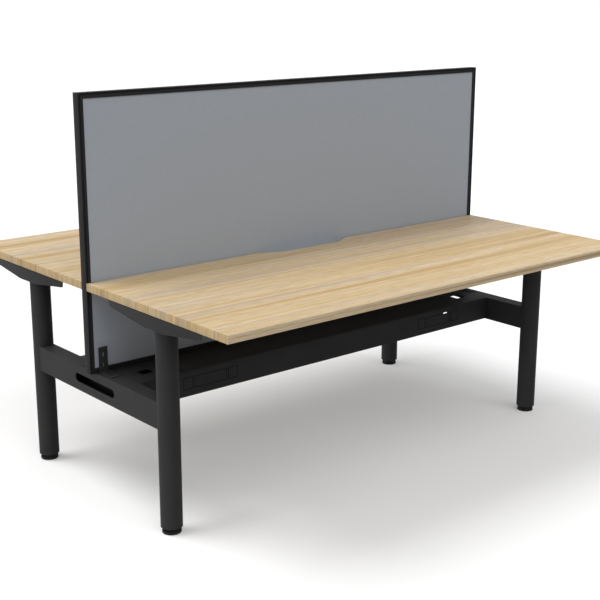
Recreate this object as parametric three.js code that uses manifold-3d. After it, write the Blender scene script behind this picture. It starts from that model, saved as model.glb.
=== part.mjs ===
// Benching desk for two: two worktops on a round-leg frame with a fabric screen between them.
// Millimetres, +Z up, origin on the floor under the middle. X runs along the worktops.
// The front user sits at -Y. Front pieces are built first, and the back ones are the same turned by 180 degrees.

import * as THREE from 'three';
import { mergeVertices } from 'three/addons/utils/BufferGeometryUtils.js';
import Module from 'manifold-3d';

const wasm = await Module();
wasm.setup();

// Worktops
const worktopLength = 1800;
const worktopDepth = 744;
const worktopThickness = 25;
const worktopHeight = 730;
const worktopScreenGap = 1;
const edgeBandThickness = 2;
const edgeBandRounding = 1.5;
const scallopFlatLength = 248;
const scallopRampLength = 91;
const scallopDepth = 42;
const scallopCornerShare = 0.2;

// Screen
const screenHeight = 900;
const screenThickness = 30;
const frameFaceWidth = 18;
const frameCapThickness = 2.5;
const frameGrooveWidth = 5.5;
const frameGrooveDepth = 4;
const frameLipThickness = 2.5;
const frameWall = 2.5;
const panelGrip = 8;
const panelPlay = 0.5;
const fabricThickness = 1.5;
const cornerKeyReach = 48;
const cornerKeyPlay = 0.25;

// Legs and levelling feet
const legDiameter = 70;
const legWall = 2.5;
const legCapThickness = 5;
const legInsetFromEnd = 49;
const legToMiddle = 389;
const footPadDiameter = 61;
const footPadHeight = 10;
const footPadRounding = 2;
const footNeckHeight = 10;
const footTravel = 12;
const studDiameter = 10;
const studClearance = 0.1;
const studSocketDepth = 5;
const studHexAcross = 17;
const studHexHeight = 5;
const plugDepth = 32;
const plugWall = 3;
const plugFlangeHeight = 2;
const plugFlangeInset = 2;
const plugBossDiameter = 24;
const plugPlay = 0.25;

// Cross rails
const railWidth = 56;
const railHeight = 88;
const railWall = 3;
const railTopHeight = 426;
const railSlotLength = 243;
const railSlotHeight = 30;
const railCornerRounding = 1;
const weldGap = 0.3;

// Worktop arms
const armLength = 488;
const armWidth = 94;
const armSheet = 3;
const armBend = 2;
const armRootLength = 108;
const armRootDepth = 45.5;
const armTipDepth = 20;
const armTipRounding = 8;

// Cable beams
const beamFaceToMiddle = 185;
const beamGapAtMiddle = 2;
const beamSheet = 2;
const beamBend = 1.5;
const beamReturnWidth = 120;
const beamLipHeight = 15;
const beamTabWidth = 54;
const cableHoleLength = 46;
const cableHoleWidth = 42;
const cableHoleToEnd = 78;
const cableHoleToMiddle = 100;
const knockoutToEnd = 278;
const knockoutLength = 131;
const knockoutHeight = 39;
const knockoutSideLength = 36;
const knockoutSpacing = 8;
const knockoutRise = 46;
const knockoutScoreWidth = 2;
const knockoutScoreDepth = 1;
const pryHoleLength = 22;
const pryHoleHeight = 5;
const pryHoleShift = 40;
const pryHoleRise = 66;

// Screen brackets
const bracketWidth = 32;
const bracketSheet = 3;
const bracketBend = 3;
const bracketHeight = 85;
const bracketFootLength = 76;
const bracketSlotWidth = 6;
const bracketSlotLength = 17;
const bracketLowSlotRise = 24;
const bracketHighSlotRise = 60;
const bracketFootSlotWidth = 9;
const bracketFootSlotLength = 46;

// Smoothness of round pieces
const legSides = 48;
const footSides = 32;
const bendSteps = 4;
const scallopSteps = 12;

// Positions that follow from the sizes above
const worktopEnd = worktopLength / 2;
const worktopUnderside = worktopHeight - worktopThickness;
const worktopNearEdge = screenThickness / 2 + worktopScreenGap;
const worktopFarEdge = worktopNearEdge + worktopDepth;
const screenTopHeight = railTopHeight + screenHeight;
const legRadius = legDiameter / 2;
const legX = worktopEnd - legInsetFromEnd;
const legBottom = footPadHeight + footNeckHeight;
const legTop = worktopUnderside - armSheet;
const railBottomHeight = railTopHeight - railHeight;
const railInnerX = legX - railWidth / 2;
const channelFloor = frameFaceWidth - panelGrip;
const channelHalfWidth = screenThickness / 2 - frameLipThickness;
const chamberHalfWidth = screenThickness / 2 - frameGrooveDepth - frameWall;
const chamberEnd = channelFloor - frameWall;
const panelHalfWidth = channelHalfWidth - panelPlay;

// Colours and surfaces, one new material for each piece
const surfaces = {
  oak: { color: 0xdcc39b, roughness: 0.5, metalness: 0 },
  oakEdge: { color: 0xc4ab82, roughness: 0.5, metalness: 0 },
  charcoal: { color: 0x38383a, roughness: 0.5, metalness: 0.2 },
  blackAluminium: { color: 0x2a2a2c, roughness: 0.45, metalness: 0.3 },
  greyFabric: { color: 0x8a8d90, roughness: 0.95, metalness: 0 },
  fibreboard: { color: 0x8f7a5c, roughness: 0.9, metalness: 0 },
  blackPlastic: { color: 0x1a1a1b, roughness: 0.6, metalness: 0 },
  zincSteel: { color: 0xa9adb0, roughness: 0.35, metalness: 0.9 },
};

const desk = new THREE.Group();

function addPiece(group, name, geometry, surface) {
  const piece = new THREE.Mesh(geometry, new THREE.MeshStandardMaterial(surfaces[surface]));
  piece.name = name;
  group.add(piece);
  return piece;
}

// Solids for adding and cutting
function toSolid(geometry) {
  const bare = geometry.clone();
  bare.deleteAttribute('normal');
  bare.deleteAttribute('uv');
  const merged = mergeVertices(bare, 1e-4);
  const mesh = new wasm.Mesh({
    numProp: 3,
    vertProperties: new Float32Array(merged.attributes.position.array),
    triVerts: new Uint32Array(merged.index.array),
  });
  return new wasm.Manifold(mesh);
}

function toGeometry(solid) {
  const mesh = solid.getMesh();
  const geometry = new THREE.BufferGeometry();
  geometry.setAttribute('position', new THREE.BufferAttribute(new Float32Array(mesh.vertProperties), 3));
  geometry.setIndex(new THREE.BufferAttribute(new Uint32Array(mesh.triVerts), 1));
  geometry.computeVertexNormals();
  return geometry;
}

function cutAway(geometry, tools) {
  return toGeometry(tools.reduce((rest, tool) => rest.subtract(toSolid(tool)), toSolid(geometry)));
}

function joinTogether(geometries) {
  return toGeometry(geometries.map(toSolid).reduce((sum, next) => sum.add(next)));
}

function keepCommon(first, second) {
  return toGeometry(toSolid(first).intersect(toSolid(second)));
}

// Basic forms
function boxBetween(low, high) {
  const box = new THREE.BoxGeometry(high[0] - low[0], high[1] - low[1], high[2] - low[2]);
  return box.translate((low[0] + high[0]) / 2, (low[1] + high[1]) / 2, (low[2] + high[2]) / 2);
}

function extrude(shape, depth, curveSegments = bendSteps) {
  return new THREE.ExtrudeGeometry(shape, { depth, bevelEnabled: false, curveSegments });
}

// A profile drawn in Y and Z, run along X between two positions
function extrudeAlongX(shape, fromX, toX, curveSegments = bendSteps) {
  const axes = new THREE.Matrix4().makeBasis(
    new THREE.Vector3(0, 1, 0),
    new THREE.Vector3(0, 0, 1),
    new THREE.Vector3(1, 0, 0),
  );
  return extrude(shape, toX - fromX, curveSegments).applyMatrix4(axes).translate(fromX, 0, 0);
}

// A profile drawn in X and Z, run along Y between two positions
function extrudeAlongY(shape, fromY, toY, curveSegments = bendSteps) {
  const axes = new THREE.Matrix4().makeBasis(
    new THREE.Vector3(1, 0, 0),
    new THREE.Vector3(0, 0, 1),
    new THREE.Vector3(0, -1, 0),
  );
  return extrude(shape, toY - fromY, curveSegments).applyMatrix4(axes).translate(0, toY, 0);
}

function extrudeUp(shape, fromZ, toZ, curveSegments = bendSteps) {
  return extrude(shape, toZ - fromZ, curveSegments).translate(0, 0, fromZ);
}

// A slot with round ends, centred on a point of its plane
function obround(centreA, centreB, length, height) {
  const shape = new THREE.Shape();
  const radius = height / 2;
  const reach = length / 2 - radius;
  shape.absarc(centreA + reach, centreB, radius, -Math.PI / 2, Math.PI / 2, false);
  shape.absarc(centreA - reach, centreB, radius, Math.PI / 2, Math.PI * 1.5, false);
  return shape;
}

// A rectangle with round corners, centred on a point of its plane
function roundedBox(centreA, centreB, length, height, radius) {
  const shape = new THREE.Shape();
  const reachA = length / 2 - radius;
  const reachB = height / 2 - radius;
  shape.absarc(centreA + reachA, centreB - reachB, radius, -Math.PI / 2, 0, false);
  shape.absarc(centreA + reachA, centreB + reachB, radius, 0, Math.PI / 2, false);
  shape.absarc(centreA - reachA, centreB + reachB, radius, Math.PI / 2, Math.PI, false);
  shape.absarc(centreA - reachA, centreB - reachB, radius, Math.PI, Math.PI * 1.5, false);
  return shape;
}

// A profile of radius and height, turned about the upright axis
function turned(profile, sides) {
  const points = profile.map(([radius, height]) => new THREE.Vector2(radius, height));
  return new THREE.LatheGeometry(points, sides).rotateX(Math.PI / 2);
}

// Middle line of a folded sheet: straight runs with a rounded bend at each inner corner
function roundedPath(corners, bendRadius) {
  const path = [corners[0].clone()];
  for (let i = 1; i < corners.length - 1; i += 1) {
    const back = corners[i - 1].clone().sub(corners[i]).normalize();
    const ahead = corners[i + 1].clone().sub(corners[i]).normalize();
    const halfAngle = Math.acos(THREE.MathUtils.clamp(back.dot(ahead), -1, 1)) / 2;
    const centreReach = bendRadius / Math.sin(halfAngle);
    const centre = back.clone().add(ahead).setLength(centreReach).add(corners[i]);
    const start = back.clone().multiplyScalar(bendRadius / Math.tan(halfAngle)).add(corners[i]).sub(centre);
    const side = Math.sign(back.x * ahead.y - back.y * ahead.x);
    const sweep = -side * (Math.PI - 2 * halfAngle);
    for (let step = 0; step <= bendSteps; step += 1) {
      const spoke = start.clone().rotateAround(new THREE.Vector2(0, 0), (sweep * step) / bendSteps);
      path.push(spoke.add(centre));
    }
  }
  path.push(corners[corners.length - 1].clone());
  return path;
}

// Outline of a sheet folded along that line, half its thickness on each side
function foldedSheet(cornerPairs, thickness, innerBend) {
  const corners = cornerPairs.map(([a, b]) => new THREE.Vector2(a, b));
  const path = roundedPath(corners, innerBend + thickness / 2);
  const left = [];
  const right = [];
  path.forEach((point, i) => {
    const before = path[Math.max(i - 1, 0)];
    const after = path[Math.min(i + 1, path.length - 1)];
    const into = point.clone().sub(before);
    const outOf = after.clone().sub(point);
    const along = into.length() < 1e-9 ? outOf : outOf.length() < 1e-9 ? into : into.normalize().add(outOf.normalize());
    const normal = new THREE.Vector2(-along.y, along.x).normalize();
    const flat = into.length() < 1e-9 || outOf.length() < 1e-9;
    const spread = flat ? 1 : 1 / Math.cos(Math.acos(THREE.MathUtils.clamp(into.dot(outOf), -1, 1)) / 2);
    left.push(point.clone().addScaledVector(normal, (thickness / 2) * spread));
    right.push(point.clone().addScaledVector(normal, (-thickness / 2) * spread));
  });
  return new THREE.Shape([...left, ...right.reverse()]);
}

// Worktops: how far the scallop reaches into the screen-side edge at a place along it
const scallopEnd = scallopFlatLength / 2 + scallopRampLength;

function scallopRampShare(x) {
  return THREE.MathUtils.clamp((Math.abs(x) - scallopFlatLength / 2) / scallopRampLength, 0, 1);
}

// Each end of the scallop is a straight ramp with a rounded corner at its foot and at its head
function scallopReach(x) {
  const share = scallopRampShare(x);
  const steepness = 1 / (1 - scallopCornerShare);
  const toEnd = Math.min(share, 1 - share);
  const risen = toEnd < scallopCornerShare
    ? (steepness * toEnd * toEnd) / (2 * scallopCornerShare)
    : steepness * (toEnd - scallopCornerShare / 2);
  return scallopDepth * (share < 0.5 ? 1 - risen : risen);
}

function scallopSlope(x) {
  const share = scallopRampShare(x);
  const steepness = Math.min(1, share / scallopCornerShare, (1 - share) / scallopCornerShare) / (1 - scallopCornerShare);
  return (-Math.sign(x) * scallopDepth * steepness) / scallopRampLength;
}

// The screen-side edge from left to right, moved into the worktop by a distance
function screenSideEdge(endX, inward) {
  const places = [-endX];
  for (let step = 0; step <= scallopSteps; step += 1) {
    places.push(-scallopEnd + (scallopRampLength * step) / scallopSteps);
  }
  for (let step = scallopSteps; step >= 0; step -= 1) {
    places.push(scallopEnd - (scallopRampLength * step) / scallopSteps);
  }
  places.push(endX);
  return places.map((x) => {
    const slope = scallopSlope(x);
    const normal = new THREE.Vector2(slope, -1).normalize();
    const edge = new THREE.Vector2(x, -worktopNearEdge - scallopReach(x));
    return edge.addScaledVector(normal, inward);
  });
}

// A straight edge band: a strip whose outer long edges are rounded, drawn from its inner face outwards
function bandProfile(innerFace, outward) {
  const outerFace = innerFace + outward * edgeBandThickness;
  const roundStart = outerFace - outward * edgeBandRounding;
  const shape = new THREE.Shape();
  shape.moveTo(innerFace, worktopUnderside);
  shape.lineTo(roundStart, worktopUnderside);
  shape.quadraticCurveTo(outerFace, worktopUnderside, outerFace, worktopUnderside + edgeBandRounding);
  shape.lineTo(outerFace, worktopHeight - edgeBandRounding);
  shape.quadraticCurveTo(outerFace, worktopHeight, roundStart, worktopHeight);
  shape.lineTo(innerFace, worktopHeight);
  return shape;
}

function worktopBoard() {
  const endX = worktopEnd - edgeBandThickness;
  const outline = screenSideEdge(endX, edgeBandThickness);
  const userY = -worktopFarEdge + edgeBandThickness;
  outline.push(new THREE.Vector2(endX, userY), new THREE.Vector2(-endX, userY));
  return extrudeUp(new THREE.Shape(outline), worktopUnderside, worktopHeight);
}

function screenSideBand() {
  const outer = screenSideEdge(worktopEnd, 0);
  const inner = screenSideEdge(worktopEnd, edgeBandThickness);
  return extrudeUp(new THREE.Shape([...outer, ...inner.reverse()]), worktopUnderside, worktopHeight);
}

function userSideBand() {
  const profile = bandProfile(-worktopFarEdge + edgeBandThickness, -1);
  return extrudeAlongX(profile, -worktopEnd, worktopEnd);
}

function endBand(side) {
  const profile = bandProfile(side * (worktopEnd - edgeBandThickness), side);
  return extrudeAlongY(profile, -worktopFarEdge + edgeBandThickness, -worktopNearEdge - edgeBandThickness);
}

// Legs and levelling feet, drawn about their own axis
function legTube() {
  const bore = legRadius - legWall;
  const capUnderside = legTop - legCapThickness;
  return turned([
    [0, capUnderside],
    [bore, capUnderside],
    [bore, legBottom],
    [legRadius, legBottom],
    [legRadius, legTop],
    [0, legTop],
  ], legSides);
}

function legPlug() {
  const outside = legRadius - legWall - plugPlay;
  const inside = outside - plugWall;
  const hole = studDiameter / 2 + studClearance;
  const boss = plugBossDiameter / 2;
  const flange = legRadius - plugFlangeInset;
  const flangeBottom = legBottom - plugFlangeHeight;
  const floor = legBottom + plugWall;
  const rim = legBottom + plugDepth;
  return turned([
    [hole, flangeBottom],
    [flange, flangeBottom],
    [flange, legBottom],
    [outside, legBottom],
    [outside, rim],
    [inside, rim],
    [inside, floor],
    [boss, floor],
    [boss, rim],
    [hole, rim],
    [hole, flangeBottom],
  ], footSides);
}

function footStud() {
  const radius = studDiameter / 2;
  const bottom = footPadHeight - studSocketDepth;
  const top = legBottom + plugDepth + 2 * footTravel;
  const tipTaper = radius / 4;
  const rod = turned([
    [0, bottom],
    [radius, bottom],
    [radius, top - tipTaper],
    [radius - tipTaper, top],
    [0, top],
  ], footSides);
  const hexBottom = footPadHeight + studClearance;
  const hexRadius = studHexAcross / Math.sqrt(3);
  const hex = turned([
    [0, hexBottom],
    [hexRadius, hexBottom],
    [hexRadius, hexBottom + studHexHeight],
    [0, hexBottom + studHexHeight],
  ], 6);
  return joinTogether([rod, hex]);
}

function footPad() {
  const radius = footPadDiameter / 2;
  const socket = studDiameter / 2 + studClearance;
  const socketFloor = footPadHeight - studSocketDepth;
  return turned([
    [0, 0],
    [radius - footPadRounding / 2, 0],
    [radius, footPadRounding / 2],
    [radius, footPadHeight - footPadRounding],
    [radius - footPadRounding * 0.3, footPadHeight - footPadRounding * 0.3],
    [radius - footPadRounding, footPadHeight],
    [socket, footPadHeight],
    [socket, socketFloor],
    [0, socketFloor],
  ], footSides);
}

// Worktop arm: a channel folded over the leg, its sides tapering to both tips
function worktopArm() {
  const middleLine = armWidth / 2 - armSheet / 2;
  const topLine = worktopUnderside - armSheet / 2;
  const rootBottom = worktopUnderside - armRootDepth;
  const tipBottom = worktopUnderside - armTipDepth;
  const channel = foldedSheet([
    [-middleLine, rootBottom],
    [-middleLine, topLine],
    [middleLine, topLine],
    [middleLine, rootBottom],
  ], armSheet, armBend);
  const root = armRootLength / 2;
  const tip = armLength / 2;
  const taper = (armRootDepth - armTipDepth) / (tip - root);
  const corner = tipBottom - taper * armTipRounding;
  const side = new THREE.Shape();
  side.moveTo(-root, rootBottom);
  side.lineTo(root, rootBottom);
  side.lineTo(tip - armTipRounding, corner);
  side.quadraticCurveTo(tip, tipBottom, tip, tipBottom + armTipRounding);
  side.lineTo(tip, worktopUnderside);
  side.lineTo(-tip, worktopUnderside);
  side.lineTo(-tip, tipBottom + armTipRounding);
  side.quadraticCurveTo(-tip, tipBottom, -tip + armTipRounding, corner);
  return keepCommon(
    extrudeAlongY(channel, -tip, tip),
    extrudeAlongX(side, -armWidth / 2, armWidth / 2),
  );
}

// Cross rail: a tube coped round both legs, with a long slot through its walls
function crossRail() {
  const middle = railBottomHeight + railHeight / 2;
  const innerRounding = Math.max(railCornerRounding - railWall, 0.5);
  const outside = extrudeAlongY(
    roundedBox(0, middle, railWidth, railHeight, railCornerRounding),
    -legToMiddle,
    legToMiddle,
  );
  const inside = extrudeAlongY(
    roundedBox(0, middle, railWidth - 2 * railWall, railHeight - 2 * railWall, innerRounding),
    -legToMiddle - 1,
    legToMiddle + 1,
  );
  const slot = extrudeAlongX(obround(0, middle, railSlotLength, railSlotHeight), -railWidth, railWidth, 8);
  const copes = [-1, 1].map((side) => turned([
    [0, railBottomHeight - 1],
    [legRadius + weldGap, railBottomHeight - 1],
    [legRadius + weldGap, railTopHeight + 1],
    [0, railTopHeight + 1],
  ], legSides).translate(0, side * legToMiddle, 0));
  return cutAway(outside, [inside, slot, ...copes]);
}

// Cable beam: folded sheet between the rails, open towards the middle below
function knockoutScore(centreX, centreZ, length) {
  const front = -beamFaceToMiddle;
  const halfLength = length / 2;
  const halfHeight = knockoutHeight / 2;
  const halfScore = knockoutScoreWidth / 2;
  const outer = boxBetween(
    [centreX - halfLength - halfScore, front - 1, centreZ - halfHeight - halfScore],
    [centreX + halfLength + halfScore, front + knockoutScoreDepth, centreZ + halfHeight + halfScore],
  );
  const inner = boxBetween(
    [centreX - halfLength + halfScore, front - 2, centreZ - halfHeight + halfScore],
    [centreX + halfLength - halfScore, front + 2 * knockoutScoreDepth, centreZ + halfHeight - halfScore],
  );
  return cutAway(outer, [inner]);
}

function cableBeam() {
  const half = beamSheet / 2;
  const topLine = railTopHeight - half;
  const faceLine = -beamFaceToMiddle + half;
  const bottomLine = railBottomHeight + half;
  const lipLine = -beamFaceToMiddle + beamReturnWidth - half;
  const profile = foldedSheet([
    [-beamGapAtMiddle / 2, topLine],
    [faceLine, topLine],
    [faceLine, bottomLine],
    [lipLine, bottomLine],
    [lipLine, railBottomHeight + beamLipHeight],
  ], beamSheet, beamBend);
  const body = extrudeAlongX(profile, -railInnerX, railInnerX);
  const tabs = [-1, 1].map((side) => {
    const ends = [side * railInnerX, side * (railInnerX - beamSheet)].sort((a, b) => a - b);
    return boxBetween(
      [ends[0], faceLine, bottomLine],
      [ends[1], faceLine + beamTabWidth, topLine],
    );
  });
  const holes = [-1, 1].map((side) => {
    const centre = side * (railInnerX - cableHoleToEnd);
    return boxBetween(
      [centre - cableHoleLength / 2, -cableHoleToMiddle - cableHoleWidth / 2, topLine - beamSheet],
      [centre + cableHoleLength / 2, -cableHoleToMiddle + cableHoleWidth / 2, topLine + beamSheet],
    );
  });
  const knockoutZ = railBottomHeight + knockoutRise;
  const sideShift = knockoutLength / 2 + knockoutSpacing + knockoutSideLength / 2;
  const scores = [-1, 1].flatMap((side) => {
    const centre = side * (railInnerX - knockoutToEnd);
    return [
      knockoutScore(centre - sideShift, knockoutZ, knockoutSideLength),
      knockoutScore(centre, knockoutZ, knockoutLength),
      knockoutScore(centre + sideShift, knockoutZ, knockoutSideLength),
    ];
  });
  const pryShape = obround(
    railInnerX - knockoutToEnd + pryHoleShift,
    railBottomHeight + pryHoleRise,
    pryHoleLength,
    pryHoleHeight,
  );
  const pryHole = extrudeAlongY(pryShape, -beamFaceToMiddle - 1, faceLine + beamSheet);
  return cutAway(joinTogether([body, ...tabs]), [...holes, ...scores, pryHole]);
}

// Screen frame: one aluminium profile, mitred at both ends. Its depth runs in from the outer face.
function frameProfile() {
  const half = screenThickness / 2;
  const grooveHalf = half - frameGrooveDepth;
  const grooveEnd = frameCapThickness + frameGrooveWidth;
  const shape = new THREE.Shape([
    new THREE.Vector2(0, -half),
    new THREE.Vector2(frameCapThickness, -half),
    new THREE.Vector2(frameCapThickness, -grooveHalf),
    new THREE.Vector2(grooveEnd, -grooveHalf),
    new THREE.Vector2(grooveEnd, -half),
    new THREE.Vector2(frameFaceWidth, -half),
    new THREE.Vector2(frameFaceWidth, -channelHalfWidth),
    new THREE.Vector2(channelFloor, -channelHalfWidth),
    new THREE.Vector2(channelFloor, channelHalfWidth),
    new THREE.Vector2(frameFaceWidth, channelHalfWidth),
    new THREE.Vector2(frameFaceWidth, half),
    new THREE.Vector2(grooveEnd, half),
    new THREE.Vector2(grooveEnd, grooveHalf),
    new THREE.Vector2(frameCapThickness, grooveHalf),
    new THREE.Vector2(frameCapThickness, half),
    new THREE.Vector2(0, half),
  ]);
  shape.holes.push(new THREE.Path([
    new THREE.Vector2(frameWall, -chamberHalfWidth),
    new THREE.Vector2(frameWall, chamberHalfWidth),
    new THREE.Vector2(chamberEnd, chamberHalfWidth),
    new THREE.Vector2(chamberEnd, -chamberHalfWidth),
  ]));
  return shape;
}

function mitredFrame(length) {
  const bar = extrude(frameProfile(), length);
  const points = bar.attributes.position;
  for (let i = 0; i < points.count; i += 1) {
    const inward = points.getX(i);
    const end = points.getZ(i) > length / 2 ? 1 : -1;
    points.setZ(i, end * (length / 2 - inward));
  }
  bar.computeVertexNormals();
  return bar;
}

// Corner key: an angle that fills the chambers of two frame pieces at their mitre
function cornerKey() {
  const outer = frameWall;
  const inner = chamberEnd - cornerKeyPlay;
  const width = chamberHalfWidth - cornerKeyPlay;
  const shape = new THREE.Shape([
    new THREE.Vector2(outer, outer),
    new THREE.Vector2(cornerKeyReach, outer),
    new THREE.Vector2(cornerKeyReach, inner),
    new THREE.Vector2(inner, inner),
    new THREE.Vector2(inner, cornerKeyReach),
    new THREE.Vector2(outer, cornerKeyReach),
  ]);
  return extrudeAlongY(shape, -width, width);
}

// A flat layer of the screen panel between two distances from the middle
function panelLayer(fromY, toY) {
  const halfLength = worktopEnd - channelFloor - panelPlay;
  return boxBetween(
    [-halfLength, fromY, railTopHeight + channelFloor],
    [halfLength, toY, screenTopHeight - channelFloor - panelPlay],
  );
}

// Screen bracket: a slotted angle, its upright against the frame and its foot on the rail
function screenBracket() {
  const plateLine = -screenThickness / 2 - bracketSheet / 2;
  const footLine = railTopHeight + bracketSheet / 2;
  const footEnd = -screenThickness / 2 - bracketFootLength;
  const angle = foldedSheet([
    [plateLine, railTopHeight + bracketHeight],
    [plateLine, footLine],
    [footEnd, footLine],
  ], bracketSheet, bracketBend);
  const plate = extrudeAlongX(angle, -bracketWidth / 2, bracketWidth / 2);
  const uprightSlots = [bracketLowSlotRise, bracketHighSlotRise].map((rise) => {
    const turnedSlot = obround(railTopHeight + rise, 0, bracketSlotLength, bracketSlotWidth);
    const slot = extrude(turnedSlot, 4 * bracketSheet).rotateY(-Math.PI / 2).rotateZ(Math.PI / 2);
    return slot.translate(0, plateLine + 2 * bracketSheet, 0);
  });
  const footMiddle = footEnd / 2 + plateLine / 2 - bracketBend;
  const footShape = obround(footMiddle, 0, bracketFootSlotLength, bracketFootSlotWidth);
  const footSlot = extrude(footShape, 4 * bracketSheet).rotateZ(Math.PI / 2);
  footSlot.translate(0, 0, railTopHeight - 2 * bracketSheet);
  return cutAway(plate, [...uprightSlots, footSlot]);
}

// Each user's half: worktop, legs, arms, cable beam and screen brackets
for (const user of ['front', 'back']) {
  const half = new THREE.Group();
  half.name = `${user}_half`;
  half.rotation.z = user === 'front' ? 0 : Math.PI;
  desk.add(half);
  addPiece(half, `${user}_worktop_board`, worktopBoard(), 'oak');
  addPiece(half, `${user}_worktop_user_edge_band`, userSideBand(), 'oakEdge');
  addPiece(half, `${user}_worktop_screen_edge_band`, screenSideBand(), 'oakEdge');
  addPiece(half, `${user}_cable_beam`, cableBeam(), 'charcoal');
  for (const side of [-1, 1]) {
    const end = (user === 'front') === (side < 0) ? 'left' : 'right';
    addPiece(half, `${user}_worktop_${end}_edge_band`, endBand(side), 'oakEdge');
    const corner = new THREE.Group();
    corner.name = `${user}_${end}_corner`;
    corner.position.set(side * legX, -legToMiddle, 0);
    half.add(corner);
    addPiece(corner, `${user}_${end}_leg`, legTube(), 'charcoal');
    addPiece(corner, `${user}_${end}_leg_plug`, legPlug(), 'blackPlastic');
    addPiece(corner, `${user}_${end}_foot_stud`, footStud(), 'zincSteel');
    addPiece(corner, `${user}_${end}_foot_pad`, footPad(), 'blackPlastic');
    addPiece(corner, `${user}_${end}_worktop_arm`, worktopArm(), 'charcoal');
    const bracket = addPiece(half, `${user}_${end}_screen_bracket`, screenBracket(), 'charcoal');
    bracket.position.x = side * legX;
  }
}

// Cross rails join the two halves
for (const [end, side] of [['left', -1], ['right', 1]]) {
  const rail = addPiece(desk, `${end}_cross_rail`, crossRail(), 'charcoal');
  rail.position.x = side * legX;
}

// Screen, standing on the rails and beams
const screen = new THREE.Group();
screen.name = 'screen';
desk.add(screen);
const screenMiddle = railTopHeight + screenHeight / 2;
const leftPost = addPiece(screen, 'screen_left_post', mitredFrame(screenHeight), 'blackAluminium');
leftPost.position.set(-worktopEnd, 0, screenMiddle);
const rightPost = addPiece(screen, 'screen_right_post', mitredFrame(screenHeight), 'blackAluminium');
rightPost.position.set(worktopEnd, 0, screenMiddle);
rightPost.rotation.z = Math.PI;
const bottomRail = addPiece(screen, 'screen_bottom_rail', mitredFrame(worktopLength), 'blackAluminium');
bottomRail.position.set(0, 0, railTopHeight);
bottomRail.rotation.y = -Math.PI / 2;
const topRail = addPiece(screen, 'screen_top_rail', mitredFrame(worktopLength), 'blackAluminium');
topRail.position.set(0, 0, screenTopHeight);
topRail.rotation.y = Math.PI / 2;

const coreHalf = panelHalfWidth - fabricThickness;
addPiece(screen, 'screen_core_board', panelLayer(-coreHalf, coreHalf), 'fibreboard');
addPiece(screen, 'screen_front_fabric', panelLayer(-panelHalfWidth, -coreHalf), 'greyFabric');
addPiece(screen, 'screen_back_fabric', panelLayer(coreHalf, panelHalfWidth), 'greyFabric');

for (const [end, side] of [['left', -1], ['right', 1]]) {
  for (const [level, height] of [['bottom', railTopHeight], ['top', screenTopHeight]]) {
    const key = addPiece(screen, `screen_${level}_${end}_corner_key`, cornerKey(), 'zincSteel');
    key.position.set(side * worktopEnd, 0, height);
    const turns = level === 'bottom' ? (side < 0 ? 0 : -1) : side < 0 ? 1 : 2;
    key.rotation.y = (turns * Math.PI) / 2;
  }
}

export default desk;
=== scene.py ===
"""Benching desk for two, dressed for a studio picture.

Two light oak worktops stand on a charcoal steel frame with round legs, and a grey fabric screen in a
black aluminium frame divides them. Lengths are metres; sizes that a maker would quote are in millimetres.
"""

import logging
import math
from dataclasses import dataclass
from enum import Enum
from typing import Callable

import bmesh
import bpy
from mathutils import Matrix, Vector

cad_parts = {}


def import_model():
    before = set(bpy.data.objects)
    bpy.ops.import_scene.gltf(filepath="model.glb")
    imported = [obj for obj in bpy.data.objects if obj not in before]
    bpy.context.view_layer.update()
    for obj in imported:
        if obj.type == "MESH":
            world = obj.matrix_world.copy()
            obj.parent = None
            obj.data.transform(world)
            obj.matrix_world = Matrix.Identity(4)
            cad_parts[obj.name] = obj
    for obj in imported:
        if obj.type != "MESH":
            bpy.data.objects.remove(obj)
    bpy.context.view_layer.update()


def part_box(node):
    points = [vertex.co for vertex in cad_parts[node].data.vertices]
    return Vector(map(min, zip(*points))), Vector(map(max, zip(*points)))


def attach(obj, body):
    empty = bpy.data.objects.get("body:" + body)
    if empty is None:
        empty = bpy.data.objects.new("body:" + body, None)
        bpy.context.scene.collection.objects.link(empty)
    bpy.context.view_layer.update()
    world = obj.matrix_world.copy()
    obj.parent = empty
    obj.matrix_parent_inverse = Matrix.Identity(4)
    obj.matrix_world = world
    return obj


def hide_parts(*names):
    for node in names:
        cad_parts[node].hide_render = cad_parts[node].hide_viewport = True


LOG = logging.getLogger("benching_desk")
MM = 0.001
Socket = bpy.types.NodeSocket
Rgba = tuple[float, float, float, float]
Sizes = tuple[float, float, float]


class Body(Enum):
    """The body that carries every piece which doesn't turn or slide."""

    FRAME = "frame"


class User(Enum):
    """The two sides of the desk, with the sign of Y on that side."""

    FRONT = ("front", -1.0)
    BACK = ("back", 1.0)

    @property
    def label(self) -> str:
        """The word that starts this side's node names."""
        return self.value[0]

    @property
    def side(self) -> float:
        """The sign of Y on this side."""
        return self.value[1]


class End(Enum):
    """The two ends of the desk, with the sign of X at that end."""

    LEFT = ("left", -1.0)
    RIGHT = ("right", 1.0)

    @property
    def label(self) -> str:
        """The word for this end in node names."""
        return self.value[0]

    @property
    def side(self) -> float:
        """The sign of X at this end."""
        return self.value[1]


class GrainRun(Enum):
    """How the printed oak grain lies: how far the broadest figure runs along X, Y and Z, in millimetres."""

    BOARD = (4000.0, 77.0, 4000.0)
    USER_EDGE = (4500.0, 4500.0, 16.67)


def linear(hex_code: str) -> Rgba:
    """Turns an sRGB hex colour into the linear colour that shaders take.

    Args:
        hex_code: Six hex digits, such as "8a8d90".

    Returns:
        Linear red, green and blue, with alpha 1.
    """
    channels = [int(hex_code[i : i + 2], 16) / 255 for i in (0, 2, 4)]
    steps = [c / 12.92 if c <= 0.04045 else ((c + 0.055) / 1.055) ** 2.4 for c in channels]
    return (steps[0], steps[1], steps[2], 1.0)


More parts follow.
